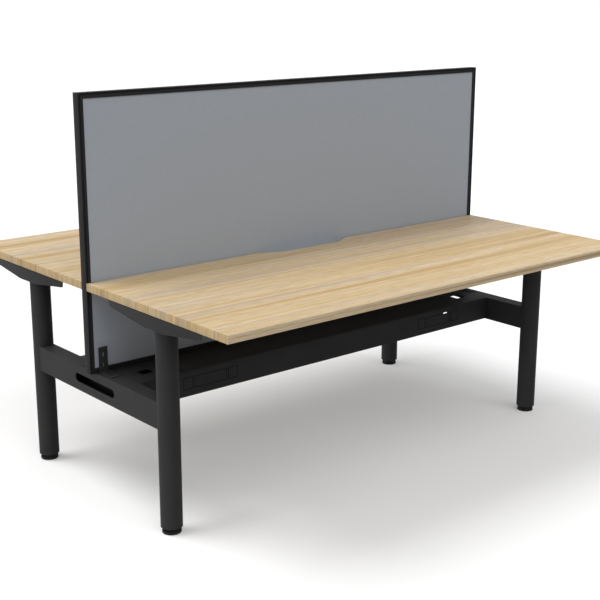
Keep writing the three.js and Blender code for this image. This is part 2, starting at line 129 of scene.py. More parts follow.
def add_node(
    tree: bpy.types.NodeTree, kind: str, sockets: dict[str | int, object] | None = None, **settings: object
) -> bpy.types.Node:
    """Adds a node, sets its options, and fills or links its inputs.

    Args:
        tree: The node tree that gets the node.
        kind: The node's Blender type name.
        sockets: Input name or number to a value, or to the output socket that feeds it.
        settings: The node's own options.

    Returns:
        The new node.
    """
    node = tree.nodes.new(kind)
    for name, value in settings.items():
        setattr(node, name, value)
    for key, value in (sockets or {}).items():
        if isinstance(value, Socket):
            tree.links.new(value, node.inputs[key])
        else:
            node.inputs[key].default_value = value
    return node


def colour_steps(node: bpy.types.Node, steps: list[tuple[float, str]]) -> Socket:
    """Fills a colour ramp with hex colours at given places.

    Args:
        node: The ramp node.
        steps: Place from 0 to 1, and the hex colour there.

    Returns:
        The ramp's colour output.
    """
    ramp = node.color_ramp
    while len(ramp.elements) < len(steps):
        ramp.elements.new(0.5)
    for element, (place, code) in zip(ramp.elements, steps):
        element.position = place
        element.color = linear(code)
    return node.outputs["Color"]


class Finish:
    """A surface: it makes one Blender material the first time that it is asked for."""

    name: str

    def material(self) -> bpy.types.Material:
        """Makes this finish's material once, and gives the same one after that.

        Returns:
            The material.
        """
        known = bpy.data.materials.get(self.name)
        if known:
            return known
        made = bpy.data.materials.new(self.name)
        made.use_nodes = True
        tree = made.node_tree
        tree.nodes.clear()
        shader = add_node(tree, "ShaderNodeBsdfPrincipled")
        add_node(tree, "ShaderNodeOutputMaterial", {"Surface": shader.outputs["BSDF"]})
        self.paint(tree, shader)
        return made

    def paint(self, tree: bpy.types.NodeTree, shader: bpy.types.Node) -> None:
        """Fills the shader's inputs from nodes in the material's tree."""
        raise NotImplementedError


def stretched(tree: bpy.types.NodeTree, sizes_mm: Sizes) -> Socket:
    """Returns object coordinates in which a pattern's cell has a real size along each axis.

    Args:
        tree: The material's node tree.
        sizes_mm: The cell's size along X, Y and Z.

    Returns:
        The stretched coordinates.
    """
    place = add_node(tree, "ShaderNodeTexCoord")
    scale = tuple(1.0 / (size * MM) for size in sizes_mm)
    return add_node(
        tree, "ShaderNodeMapping", {"Vector": place.outputs["Object"], "Scale": scale}
    ).outputs["Vector"]


@dataclass(frozen=True)
class OakMelamine(Finish):
    """Light oak melamine, a printed decor pressed under resin.

    The eye sees pale honey bands and thin grey-pink streaks along the board, short dark pores,
    and an even satin sheen that the pores break a little.
    """

    name: str
    run: GrainRun
    pale: str = "d4c0a0"
    honey: str = "cbb287"
    tan: str = "b09267"
    greyed: str = "c0b09d"
    streaks_across: float = 13.0
    streaks_along: float = 3.0
    pore_mm: float = 5.0
    pore_reach: float = 11.0

    def paint(self, tree: bpy.types.NodeTree, shader: bpy.types.Node) -> None:
        """Layers bands, streaks and pores, all stretched along the grain.

        Args:
            tree: The material's node tree.
            shader: Its Principled shader.
        """
        figure = self.run.value
        across = figure.index(min(figure))
        fine = tuple(mm / (self.streaks_across if i == across else self.streaks_along) for i, mm in enumerate(figure))
        pore = tuple(self.pore_mm * (1.0 if i == across else self.pore_reach) for i in range(3))
        bands = add_node(tree, "ShaderNodeTexNoise", {
            "Vector": stretched(tree, figure), "Scale": 1.0, "Detail": 4.0, "Roughness": 0.6, "Distortion": 0.35,
        })
        base = colour_steps(
            add_node(tree, "ShaderNodeValToRGB", {"Fac": bands.outputs["Fac"]}),
            [(0.32, self.tan), (0.42, self.honey), (0.52, self.pale), (0.62, self.greyed), (0.72, self.honey)],
        )
        streaks = add_node(tree, "ShaderNodeTexNoise", {
            "Vector": stretched(tree, fine), "Scale": 1.0, "Detail": 5.0, "Roughness": 0.65,
        })
        streak_share = add_node(tree, "ShaderNodeMapRange", {
            "Value": streaks.outputs["Fac"], "From Min": 0.47, "From Max": 0.68, "To Min": 0.0, "To Max": 0.7,
        })
        greyed = add_node(tree, "ShaderNodeMix", {
            "Factor": streak_share.outputs["Result"], "A": base, "B": linear(self.tan),
        }, data_type="RGBA")
        pores = add_node(tree, "ShaderNodeTexNoise", {
            "Vector": stretched(tree, pore), "Scale": 1.0, "Detail": 2.0, "Roughness": 0.5,
        })
        pore_share = add_node(tree, "ShaderNodeMapRange", {
            "Value": pores.outputs["Fac"], "From Min": 0.48, "From Max": 0.7, "To Min": 0.0, "To Max": 0.5,
        })
        grained = add_node(tree, "ShaderNodeMix", {
            "Factor": pore_share.outputs["Result"], "A": greyed.outputs["Result"], "B": linear(self.tan),
        }, data_type="RGBA")
        sheen = add_node(tree, "ShaderNodeMapRange", {
            "Value": pores.outputs["Fac"], "From Min": 0.3, "From Max": 0.8, "To Min": 0.42, "To Max": 0.58,
        })
        relief = add_node(tree, "ShaderNodeBump", {
            "Height": pores.outputs["Fac"], "Strength": 0.06, "Distance": 0.2 * MM,
        })
        tree.links.new(grained.outputs["Result"], shader.inputs["Base Color"])
        tree.links.new(sheen.outputs["Result"], shader.inputs["Roughness"])
        tree.links.new(relief.outputs["Normal"], shader.inputs["Normal"])
        shader.inputs["IOR"].default_value = 1.5
        shader.inputs["Specular IOR Level"].default_value = 0.06


@dataclass(frozen=True)
class PowderCoat(Finish):
    """Baked powder coat over steel or aluminium.

    The eye sees an even dark satin skin with a fine orange-peel texture, and soft, wide highlights.
    """

    name: str
    colour: str
    lighter: str
    roughness: float = 0.5
    shine: float = 0.03
    grit_mm: float = 1.6
    cloud_mm: float = 140.0

    def paint(self, tree: bpy.types.NodeTree, shader: bpy.types.Node) -> None:
        """Mottles the colour a little, and gives the skin its grit.

        Args:
            tree: The material's node tree.
            shader: Its Principled shader.
        """
        grit = add_node(tree, "ShaderNodeTexNoise", {
            "Vector": stretched(tree, (self.grit_mm,) * 3), "Scale": 1.0, "Detail": 2.0, "Roughness": 0.5,
        })
        cloud = add_node(tree, "ShaderNodeTexNoise", {
            "Vector": stretched(tree, (self.cloud_mm,) * 3), "Scale": 1.0, "Detail": 3.0, "Roughness": 0.55,
        })
        tone = colour_steps(
            add_node(tree, "ShaderNodeValToRGB", {"Fac": cloud.outputs["Fac"]}),
            [(0.35, self.colour), (0.65, self.lighter)],
        )
        gloss = add_node(tree, "ShaderNodeMapRange", {
            "Value": grit.outputs["Fac"], "From Min": 0.3, "From Max": 0.7,
            "To Min": self.roughness - 0.05, "To Max": self.roughness + 0.06,
        })
        relief = add_node(tree, "ShaderNodeBump", {
            "Height": grit.outputs["Fac"], "Strength": 0.12, "Distance": 0.1 * MM,
        })
        tree.links.new(tone, shader.inputs["Base Color"])
        tree.links.new(gloss.outputs["Result"], shader.inputs["Roughness"])
        tree.links.new(relief.outputs["Normal"], shader.inputs["Normal"])
        shader.inputs["IOR"].default_value = 1.5
        shader.inputs["Specular IOR Level"].default_value = self.shine


@dataclass(frozen=True)
class WovenFabric(Finish):
    """Grey polyester panel fabric, a plain weave pulled tight over a board.

    The eye sees a matt, nearly even grey, with a faint grid of threads, some threads a shade
    lighter or darker, and a soft bloom at a low angle. The threads are drawn twice as coarse as
    the real 0.8 mm ones, so that they show.
    """

    name: str
    dark: str = "9ba1aa"
    light: str = "a7adb6"
    thread_mm: float = 1.6
    slub_mm: Sizes = (17.0, 17.0, 2.4)

    def paint(self, tree: bpy.types.NodeTree, shader: bpy.types.Node) -> None:
        """Crosses two thread waves, and varies the thread colours.

        Args:
            tree: The material's node tree.
            shader: Its Principled shader.
        """
        place = stretched(tree, (2.0 * self.thread_mm,) * 3)
        warp = add_node(tree, "ShaderNodeTexWave", {
            "Vector": place, "Scale": 0.62, "Distortion": 0.4, "Detail": 1.0, "Detail Scale": 2.0,
        }, wave_type="BANDS", bands_direction="X", wave_profile="SIN")
        weft = add_node(tree, "ShaderNodeTexWave", {
            "Vector": place, "Scale": 0.62, "Distortion": 0.4, "Detail": 1.0, "Detail Scale": 2.0,
        }, wave_type="BANDS", bands_direction="Z", wave_profile="SIN")
        cross = add_node(tree, "ShaderNodeMath", {
            0: warp.outputs["Fac"], 1: weft.outputs["Fac"],
        }, operation="MULTIPLY")
        slub = add_node(tree, "ShaderNodeTexNoise", {
            "Vector": stretched(tree, self.slub_mm), "Scale": 1.0, "Detail": 3.0, "Roughness": 0.6,
        })
        blend = add_node(tree, "ShaderNodeMath", {
            0: cross.outputs["Value"], 1: slub.outputs["Fac"],
        }, operation="ADD")
        tone = colour_steps(
            add_node(tree, "ShaderNodeValToRGB", {"Fac": blend.outputs["Value"]}),
            [(0.25, self.dark), (1.0, self.light)],
        )
        relief = add_node(tree, "ShaderNodeBump", {
            "Height": cross.outputs["Value"], "Strength": 0.25, "Distance": 0.3 * MM,
        })
        tree.links.new(tone, shader.inputs["Base Color"])
        tree.links.new(relief.outputs["Normal"], shader.inputs["Normal"])
        shader.inputs["Roughness"].default_value = 0.92
        shader.inputs["Specular IOR Level"].default_value = 0.2
        shader.inputs["Sheen Weight"].default_value = 0.12
        shader.inputs["Sheen Roughness"].default_value = 0.5


@dataclass(frozen=True)
class MouldedPlastic(Finish):
    """Black nylon, injection moulded in a lightly sparked tool.

    The eye sees a matt near-black with a fine pebble that scatters the highlight.
    """

    name: str
    colour: str = "101011"
    worn: str = "161617"
    pebble_mm: float = 0.9

    def paint(self, tree: bpy.types.NodeTree, shader: bpy.types.Node) -> None:
        """Pebbles the surface and lifts the tops of the pebbles a shade.

        Args:
            tree: The material's node tree.
            shader: Its Principled shader.
        """
        pebble = add_node(tree, "ShaderNodeTexVoronoi", {
            "Vector": stretched(tree, (self.pebble_mm,) * 3), "Scale": 1.0,
        }, feature="SMOOTH_F1")
        tone = colour_steps(
            add_node(tree, "ShaderNodeValToRGB", {"Fac": pebble.outputs["Distance"]}),
            [(0.1, self.worn), (0.7, self.colour)],
        )
        relief = add_node(tree, "ShaderNodeBump", {
            "Height": pebble.outputs["Distance"], "Strength": 0.2, "Distance": 0.15 * MM,
        })
        tree.links.new(tone, shader.inputs["Base Color"])
        tree.links.new(relief.outputs["Normal"], shader.inputs["Normal"])
        shader.inputs["Roughness"].default_value = 0.6
        shader.inputs["IOR"].default_value = 1.53
        shader.inputs["Specular IOR Level"].default_value = 0.15


@dataclass(frozen=True)
class ZincSteel(Finish):
    """Zinc-plated steel, rolled or drawn and then dipped.

    The eye sees a bluish grey metal with faint drawing lines and cloudy patches in its gloss.
    """

    name: str
    colour: str = "a9adb0"
    dull: str = "92969a"
    cloud_mm: Sizes = (5.5, 5.5, 1.4)

    def paint(self, tree: bpy.types.NodeTree, shader: bpy.types.Node) -> None:
        """Clouds the plating's colour and gloss.

        Args:
            tree: The material's node tree.
            shader: Its Principled shader.
        """
        cloud = add_node(tree, "ShaderNodeTexNoise", {
            "Vector": stretched(tree, self.cloud_mm), "Scale": 1.0, "Detail": 4.0, "Roughness": 0.6,
        })
        tone = colour_steps(
            add_node(tree, "ShaderNodeValToRGB", {"Fac": cloud.outputs["Fac"]}),
            [(0.35, self.dull), (0.65, self.colour)],
        )
        gloss = add_node(tree, "ShaderNodeMapRange", {
            "Value": cloud.outputs["Fac"], "From Min": 0.3, "From Max": 0.7, "To Min": 0.28, "To Max": 0.42,
        })
        tree.links.new(tone, shader.inputs["Base Color"])
        tree.links.new(gloss.outputs["Result"], shader.inputs["Roughness"])
        shader.inputs["Metallic"].default_value = 1.0


@dataclass(frozen=True)
class RawFibreboard(Finish):
    """Raw fibreboard, sawn, which only shows where the screen panel's edge is bare.

    The eye sees a matt brown felt of fine fibres.
    """

    name: str
    colour: str = "8f7a5c"
    dark: str = "7d694d"
    fibre_mm: float = 1.1

    def paint(self, tree: bpy.types.NodeTree, shader: bpy.types.Node) -> None:
        """Speckles the fibre colour.

        Args:
            tree: The material's node tree.
            shader: Its Principled shader.
        """
        fibre = add_node(tree, "ShaderNodeTexNoise", {
            "Vector": stretched(tree, (self.fibre_mm,) * 3), "Scale": 1.0, "Detail": 3.0, "Roughness": 0.7,
        })
        tone = colour_steps(
            add_node(tree, "ShaderNodeValToRGB", {"Fac": fibre.outputs["Fac"]}),
            [(0.35, self.dark), (0.65, self.colour)],
        )
        tree.links.new(tone, shader.inputs["Base Color"])
        shader.inputs["Roughness"].default_value = 0.95


OAK_BOARD = OakMelamine("light_oak_melamine", GrainRun.BOARD)
OAK_END_BAND = OakMelamine(
    "light_oak_end_band", GrainRun.BOARD, pale="bba47d", honey="b19a74", tan="937c57", greyed="a7977e"
)
OAK_USER_BAND = OakMelamine(
    "light_oak_user_band", GrainRun.USER_EDGE, pale="d5bfa0", honey="c8b392", tan="a69272", greyed="beb19e"
)
CHARCOAL = PowderCoat("charcoal_powder_coat", colour="333334", lighter="363637")
# Near-black coat that paints the shade inside the cable beams' scored knock-out lines.
SCORE_SHADE_PAINT = PowderCoat("painted_shade_in_scored_lines", colour="111111", lighter="131313")
BLACK_FRAME = PowderCoat("black_powder_coated_aluminium", colour="29292a", lighter="2c2c2d", roughness=0.47)
GREY_FABRIC = WovenFabric("grey_woven_polyester")
BLACK_NYLON = MouldedPlastic("black_moulded_nylon")
PLATED = ZincSteel("zinc_plated_steel")
CORE = RawFibreboard("raw_fibreboard")


def new_piece(name: str, shape: bmesh.types.BMesh, finish: Finish, body: str) -> bpy.types.Object:
    """Makes an object from a mesh, dresses it and sets it on a body.

    Args:
        name: The piece's name.
        shape: The mesh, in metres in the desk's frame; it is used up.
        finish: The surface.
        body: The body that carries the piece.

    Returns:
        The new object.
    """
    mesh = bpy.data.meshes.new(name)
    shape.to_mesh(mesh)
    shape.free()
    mesh.materials.append(finish.material())
    piece = bpy.data.objects.new(name, mesh)
    bpy.context.scene.collection.objects.link(piece)
    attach(piece, body)
    LOG.info("made %s with %d faces", name, len(mesh.polygons))
    return piece


def shade_by_angle(shape: bmesh.types.BMesh, angle_deg: float = 28.0) -> None:
    """Shades faces smoothly and keeps edges crisp where they turn by more than an angle.

    Args:
        shape: The mesh.
        angle_deg: The largest turn that still looks round.
    """
    for face in shape.faces:
        face.smooth = True
    for edge in shape.edges:
        edge.smooth = edge.is_manifold and edge.calc_face_angle(math.pi) < math.radians(angle_deg)


def eased(shape: bmesh.types.BMesh, size_mm: float, wanted: Callable[[bmesh.types.BMEdge], bool]) -> None:
    """Rounds chosen sharp outer edges by a small radius.

    Args:
        shape: The mesh.
        size_mm: How far the rounding reaches from the edge.
        wanted: Says whether a sharp edge is rounded.
    """
    edges = [
        e for e in shape.edges
        if e.is_manifold and e.calc_face_angle_signed(0.0) > math.radians(40.0) and wanted(e)
    ]
    if edges:
        bmesh.ops.bevel(
            shape, geom=edges, offset=size_mm * MM, segments=2, profile=0.5, affect="EDGES", clamp_overlap=True
        )


def refined(
    node: str, finish: Finish, body: str = Body.FRAME.value, ease_mm: float = 0.0,
    wanted: Callable[[bmesh.types.BMEdge], bool] = lambda e: True,
) -> bpy.types.Object:
    """Makes a finely shaded piece that stands for a construction solid.

    Args:
        node: The solid that the piece stands for.
        finish: The surface.
        body: The body that carries the piece.
        ease_mm: Rounding of sharp outer edges, or 0 for none.
        wanted: Says which sharp edges are rounded.

    Returns:
        The new object.
    """
    shape = bmesh.new()
    shape.from_mesh(bpy.data.objects[node].data)
    bmesh.ops.remove_doubles(shape, verts=shape.verts, dist=2e-6)
    bmesh.ops.dissolve_limit(shape, angle_limit=math.radians(0.6), verts=shape.verts, edges=shape.edges)
    bmesh.ops.recalc_face_normals(shape, faces=shape.faces)
    if ease_mm > 0.0:
        eased(shape, ease_mm, wanted)
    shade_by_angle(shape)
    piece = new_piece(f"{node}.dressed", shape, finish, body)
    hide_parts(node)
    return piece


def lathe(shape: bmesh.types.BMesh, profile: list[tuple[float, float]], centre: Vector, sides: int) -> None:
    """Turns a closed profile about an upright axis.

    Args:
        shape: The mesh that gets the faces.
        profile: Radius and height pairs in millimetres, starting and ending on the axis.
        centre: The axis' foot.
        sides: Steps round the axis.
    """
    rings = []
    for radius, height in profile:
        if radius <= 0.0:
            rings.append([shape.verts.new(centre + Vector((0.0, 0.0, height * MM)))])
            continue
        ring = []
        for step in range(sides):
            turn = 2.0 * math.pi * step / sides
            spoke = Vector((math.cos(turn) * radius, math.sin(turn) * radius, height)) * MM
            ring.append(shape.verts.new(centre + spoke))
        rings.append(ring)
    for low, high in zip(rings, rings[1:]):
        for step in range(sides):
            after = (step + 1) % sides
            if len(low) == 1:
                shape.faces.new((low[0], high[after], high[step]))
            elif len(high) == 1:
                shape.faces.new((low[step], low[after], high[0]))
            else:
                shape.faces.new((low[step], low[after], high[after], high[step]))


@dataclass
class Worktop:
    """One user's oak worktop: board and four edge bands."""

    user: User

    def build(self) -> None:
        """Dresses the board and its bands."""
        word = self.user.label
        refined(f"{word}_worktop_board", OAK_BOARD)
        refined(f"{word}_worktop_user_edge_band", OAK_USER_BAND)
        refined(f"{word}_worktop_screen_edge_band", OAK_END_BAND)
        for end in End:
            refined(f"{word}_worktop_{end.label}_edge_band", OAK_END_BAND)


@dataclass
class FabricFace:
    """One side's panel fabric: a sheet pulled over the core board and tucked into the frame."""

    user: User
    columns: int = 150
    rows: int = 74
    thickness_mm: float = 1.2
    soft_edge_mm: float = 14.0
    edge_drop_mm: float = 0.5
    lip_mm: float = 18.0

    def build(self) -> None:
        """Builds the sheet and dresses it."""
        node = f"screen_{self.user.label}_fabric"
        low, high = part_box(node)
        outer = low.y if self.user is User.FRONT else high.y
        shape = bmesh.new()
        skins = []
        for inset in (0.05, self.thickness_mm):
            grid = []
            for row in range(self.rows + 1):
                z = low.z + (high.z - low.z) * row / self.rows
                line = []
                for column in range(self.columns + 1):
                    x = low.x + (high.x - low.x) * column / self.columns
                    drop = self.edge_drop_mm * self.near_edge(x, z, low, high) if inset < 0.5 else 0.0
                    y = outer - self.user.side * (inset + drop) * MM
                    line.append(shape.verts.new((x, y, z)))
                grid.append(line)
            skins.append(grid)
        for grid in skins:
            for row in range(self.rows):
                for column in range(self.columns):
                    shape.faces.new((
                        grid[row][column], grid[row][column + 1], grid[row + 1][column + 1], grid[row + 1][column],
                    ))
        for first, second in zip(self.border(skins[0]), self.border(skins[1])):
            shape.faces.new((first[0], first[1], second[1], second[0]))
        bmesh.ops.recalc_face_normals(shape, faces=shape.faces)
        shade_by_angle(shape)
        name = f"{self.user.label}_screen_fabric_sheet"
        piece = new_piece(name, shape, GREY_FABRIC, Body.FRAME.value)
        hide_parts(node)

    def near_edge(self, x: float, z: float, low: Vector, high: Vector) -> float:
        """Says how close a point is to the frame's lip, from 0 in the open to 1 at the lip.

        Args:
            x: Place along the sheet.
            z: Height of the place.
            low: The sheet's lowest corner.
            high: The sheet's highest corner.

        Returns:
            A share from 0 to 1.
        """
        reach = min(x - low.x, high.x - x, z - low.z, high.z - z) - (self.lip_mm - 10.0) * MM
        share = max(0.0, min(1.0, 1.0 - reach / (self.soft_edge_mm * MM)))
        return share * share

    def border(self, grid: list[list[bmesh.types.BMVert]]) -> list[tuple[bmesh.types.BMVert, bmesh.types.BMVert]]:
        """Lists the grid's border once round, as pairs of neighbouring points."""
        ring = grid[0] + [line[-1] for line in grid[1:]] + grid[-1][-2::-1] + [line[0] for line in grid[-2:0:-1]]
        return list(zip(ring, ring[1:] + ring[:1]))


@dataclass
class Screen:
    """The screen: mitred black frame, core board, corner keys and two fabric faces."""

    ease_mm: float = 0.4
    long_edge_mm: float = 500.0

    def build(self) -> None:
        """Dresses the frame and the hidden pieces, and builds the fabric."""
        for node in ("screen_left_post", "screen_right_post", "screen_top_rail", "screen_bottom_rail"):
            refined(node, BLACK_FRAME, ease_mm=self.ease_mm, wanted=self.along_bar)
        refined("screen_core_board", CORE)
        for level in ("bottom", "top"):
            for end in End:
                refined(f"screen_{level}_{end.label}_corner_key", PLATED)
        for user in User:
            FabricFace(user).build()

    def along_bar(self, edge: bmesh.types.BMEdge) -> bool:
        """Says whether an edge runs along a frame bar, and isn't part of its mitre."""
        return edge.calc_length() > self.long_edge_mm * MM


@dataclass
class LegFrame:
    """Legs, cross rails, worktop arms and the screws that hold the worktops on the arms."""

    screw_radius_mm: float = 4.5
    screw_head_mm: float = 2.6
    screw_out_mm: tuple[float, ...] = (90.0, 190.0)
    screw_side_mm: float = 26.0

    def build(self) -> None:
        """Dresses the steel frame and adds the wood screws."""
        for end in End:
            refined(f"{end.label}_cross_rail", CHARCOAL)
            for user in User:
                corner = f"{user.label}_{end.label}"
                refined(f"{corner}_leg", CHARCOAL)
                refined(f"{corner}_leg_plug", BLACK_NYLON)
                refined(f"{corner}_worktop_arm", CHARCOAL, ease_mm=0.5)
                self.arm_screws(corner)

    def arm_screws(self, corner: str) -> None:
        """Adds the pan-head wood screws under one arm's top plate.

        Args:
            corner: The corner's words in node names.
        """
        low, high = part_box(f"{corner}_worktop_arm")
        _, leg_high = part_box(f"{corner}_leg")
        middle = (low + high) / 2
        shape = bmesh.new()
        for out in self.screw_out_mm:
            for along in (-1.0, 1.0):
                for across in (-1.0, 1.0):
                    x = middle.x + across * self.screw_side_mm * MM
                    y = middle.y + along * out * MM
                    self.pan_head(shape, Vector((x, y, leg_high.z)))
        bmesh.ops.recalc_face_normals(shape, faces=shape.faces)
        shade_by_angle(shape, 35.0)
        new_piece(f"{corner}_arm_screws", shape, PLATED, Body.FRAME.value)

    def pan_head(self, shape: bmesh.types.BMesh, seat: Vector) -> None:
        """Adds one domed screw head with a drive recess, hanging from its seat.

        Args:
            shape: The mesh that gets the head.
            seat: The middle of the face that the head bears on.
        """
        radius, drop = self.screw_radius_mm, self.screw_head_mm
        lathe(shape, [
            (0.0, -drop * 0.45), (radius * 0.32, -drop * 0.45), (radius * 0.4, -drop),
            (radius * 0.62, -drop * 0.94), (radius * 0.88, -drop * 0.62), (radius, -drop * 0.2),
            (radius, 0.0), (0.0, 0.0),
        ], seat, 18)


@dataclass
class CableBeam:
    """One side's folded cable beam and the bolts that hold its end tabs on the cross rails."""

    user: User
    bolt_across_mm: float = 10.0
    bolt_head_mm: float = 4.0
    washer_mm: float = 13.0
    bolt_rise_mm: tuple[float, ...] = (24.0, 64.0)
    bolt_inset_mm: float = 28.0
    tab_mm: float = 2.0
    score_depth_mm: tuple[float, float] = (0.2, 1.2)
    score_rise_mm: tuple[float, float] = (15.0, 76.0)

    def build(self) -> None:
        """Dresses the beam and adds its bolts."""
        node = f"{self.user.label}_cable_beam"
        beam = refined(node, CHARCOAL)
        low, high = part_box(node)
        face = low.y if self.user is User.FRONT else high.y
        # Painted shade in the scored knock-out lines.
        self.darken_scores(beam, face, low.z)
        shape = bmesh.new()
        for end in End:
            outer = low.x if end is End.LEFT else high.x
            for rise in self.bolt_rise_mm:
                seat = Vector((
                    outer - end.side * self.tab_mm * MM, face - self.user.side * self.bolt_inset_mm * MM,
                    low.z + rise * MM,
                ))
                self.flange_bolt(shape, seat, -end.side)
        bmesh.ops.recalc_face_normals(shape, faces=shape.faces)
        shade_by_angle(shape, 35.0)
        new_piece(f"{self.user.label}_beam_bolts", shape, PLATED, Body.FRAME.value)

    def darken_scores(self, beam: bpy.types.Object, face: float, bottom: float) -> None:
        """Paints shade into the knock-outs' scored lines: a near-black coat on the groove faces stands for the shade
        that gathers in them.

        Args:
            beam: The dressed beam.
            face: Where the beam's outer wall lies along Y.
            bottom: The beam's lowest height.
        """
        # The groove faces get the near-black coat, which is painted shade.
        beam.data.materials.append(SCORE_SHADE_PAINT.material())
        least, most = self.score_depth_mm
        lowest, highest = self.score_rise_mm
        for polygon in beam.data.polygons:
            sunk = (face - polygon.center.y) * self.user.side / MM
            rise = (polygon.center.z - bottom) / MM
            if least < sunk < most and lowest < rise < highest:
                polygon.material_index = 1

    def flange_bolt(self, shape: bmesh.types.BMesh, seat: Vector, way: float) -> None:
        """Adds one hexagon flange bolt head that points along X.

        Args:
            shape: The mesh that gets the head.
            seat: The middle of the face that the flange bears on.
            way: The sign of X that the head points to.
        """
        across, head, washer = self.bolt_across_mm, self.bolt_head_mm, self.washer_mm / 2.0
        hexagon = across / math.sqrt(3.0)
        part = bmesh.new()
        flange = 1.2
        top = flange + head
        lathe(part, [
            (0.0, 0.0), (washer, 0.0), (washer, 0.8), (washer * 0.86, flange), (0.0, flange),
        ], Vector(), 24)
        lathe(part, [
            (0.0, flange), (hexagon, flange), (hexagon, flange + head * 0.8), (hexagon * 0.86, top), (0.0, top),
        ], Vector(), 6)
        turn = Matrix.Rotation(math.radians(90.0) * way, 4, "Y")
        bmesh.ops.transform(part, matrix=Matrix.Translation(seat) @ turn, verts=part.verts)
        carried = bpy.data.meshes.new("flange_bolt")
        part.to_mesh(carried)
        part.free()
        shape.from_mesh(carried)
        bpy.data.meshes.remove(carried)


@dataclass
class ScreenBracket:
    """One slotted angle between a cross rail and the screen."""

    user: User
    end: End
    ease_mm: float = 0.35

    def build(self) -> None:
        """Dresses the bracket with eased sheet edges."""
        node = f"{self.user.label}_{self.end.label}_screen_bracket"
        refined(node, CHARCOAL, ease_mm=self.ease_mm, wanted=lambda e: e.calc_length() > 0.015)


@dataclass
class LevellingFoot:
    """One screw foot: a moulded pad that slides out, and a threaded stud that turns in the leg."""

    user: User
    end: End
    stud_radius_mm: float = 5.0
    pitch_mm: float = 1.5
    thread_depth_mm: float = 0.75
    thread_top_mm: float = 44.0
    hex_across_mm: float = 17.0
    hex_height_mm: float = 5.0
    sides: int = 24
    rings_per_turn: int = 6

    @property
    def corner(self) -> str:
        """The corner's words in node and body names."""
        return f"{self.user.label}_{self.end.label}"

    def build(self) -> None:
        """Builds the pad and the stud on their own bodies."""
        self.pad()
        self.stud()

    def axis(self) -> Vector:
        """Finds where the screw's axis meets the floor.

        Returns:
            The point on the floor.
        """
        low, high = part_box(f"{self.corner}_foot_pad")
        middle = (low + high) / 2
        return Vector((middle.x, middle.y, 0.0))

    def pad(self) -> None:
        """Builds the round pad with a rounded rim, a waist line and a socket for the stud."""
        node = f"{self.corner}_foot_pad"
        low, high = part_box(node)
        rim = (high.x - low.x) / 2 / MM
        tall = (high.z - low.z) / MM
        socket = self.stud_radius_mm + 0.1
        shape = bmesh.new()
        lathe(shape, [
            (0.0, 0.0), (rim - 1.6, 0.0), (rim - 0.5, 0.35), (rim, 1.3),
            (rim, 4.2), (rim - 0.5, 4.5), (rim - 0.5, 5.0), (rim, 5.3),
            (rim, tall - 2.0), (rim - 0.3, tall - 1.0), (rim - 0.9, tall - 0.35), (rim - 1.9, tall - 0.05),
            (rim - 3.0, tall), (socket + 0.6, tall), (socket, tall - 0.5), (socket, tall - 5.0), (0.0, tall - 5.0),
        ], self.axis(), 72)
        bmesh.ops.recalc_face_normals(shape, faces=shape.faces)
        shade_by_angle(shape, 40.0)
        piece = new_piece(f"{node}.dressed", shape, BLACK_NYLON, f"{self.corner}_foot")
        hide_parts(node)

    def stud(self) -> None:
        """Builds the stud with its hexagon and a real helical thread."""
        node = f"{self.corner}_foot_stud"
        low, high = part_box(node)
        radius = self.stud_radius_mm
        hex_low = low.z / MM + 5.1
        hex_high = hex_low + self.hex_height_mm
        shape = bmesh.new()
        lathe(shape, [(0.0, low.z / MM), (radius, low.z / MM), (radius, hex_low), (0.0, hex_low)], self.axis(), 32)
        corner = self.hex_across_mm / math.sqrt(3.0)
        flat = self.hex_across_mm / 2.0
        lathe(shape, [
            (0.0, hex_low), (flat, hex_low), (corner, hex_low + 0.6), (corner, hex_high - 0.6), (flat, hex_high),
            (0.0, hex_high),
        ], self.axis(), 6)
        thread_top, top = self.thread_top_mm, high.z / MM
        self.thread(shape, hex_high, thread_top)
        lathe(shape, [
            (0.0, thread_top), (radius - self.thread_depth_mm, thread_top), (radius, thread_top + 0.8),
            (radius, top - 1.25), (radius - 1.25, top), (0.0, top),
        ], self.axis(), 32)
        bmesh.ops.recalc_face_normals(shape, faces=shape.faces)
        shade_by_angle(shape, 40.0)
        piece = new_piece(f"{node}.dressed", shape, PLATED, f"{self.corner}_stud")
        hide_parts(node)

    def thread(self, shape: bmesh.types.BMesh, low_mm: float, high_mm: float) -> None:
        """Adds a rod with a helical thread between two heights.

        Args:
            shape: The mesh that gets the thread.
            low_mm: Where the thread starts.
            high_mm: Where it ends.
        """
        count = round((high_mm - low_mm) / self.pitch_mm * self.rings_per_turn)
        axis = self.axis()
        rings = []
        for i in range(count + 1):
            height = low_mm + (high_mm - low_mm) * i / count
            ring = []
            for step in range(self.sides):
                share = (height / self.pitch_mm - step / self.sides) % 1.0
                crest = abs(2.0 * share - 1.0)
                radius = self.stud_radius_mm - self.thread_depth_mm * (1.0 - crest)
                turn = 2.0 * math.pi * step / self.sides
                spoke = Vector((math.cos(turn) * radius, math.sin(turn) * radius, height)) * MM
                ring.append(shape.verts.new(axis + spoke))
            rings.append(ring)
        for low, high in zip(rings, rings[1:]):
            for step in range(self.sides):
                after = (step + 1) % self.sides
                shape.faces.new((low[step], low[after], high[after], high[step]))
        shape.faces.new(rings[0][::-1])
        shape.faces.new(rings[-1])


@dataclass(frozen=True)
class SoftLamp:
    """One broad studio light, far enough away to light the whole desk evenly."""

    name: str
    strength: float
    spread_deg: float
    comes_from: tuple[float, float, float]

    def build(self) -> None:
        """Makes the lamp and points it at the desk."""
        lamp = bpy.data.lights.new(self.name, "SUN")
        lamp.energy = self.strength
        lamp.angle = math.radians(self.spread_deg)
        holder = bpy.data.objects.new(self.name, lamp)
        holder.rotation_euler = Vector(self.comes_from).to_track_quat("Z", "Y").to_euler()
        bpy.context.scene.collection.objects.link(holder)


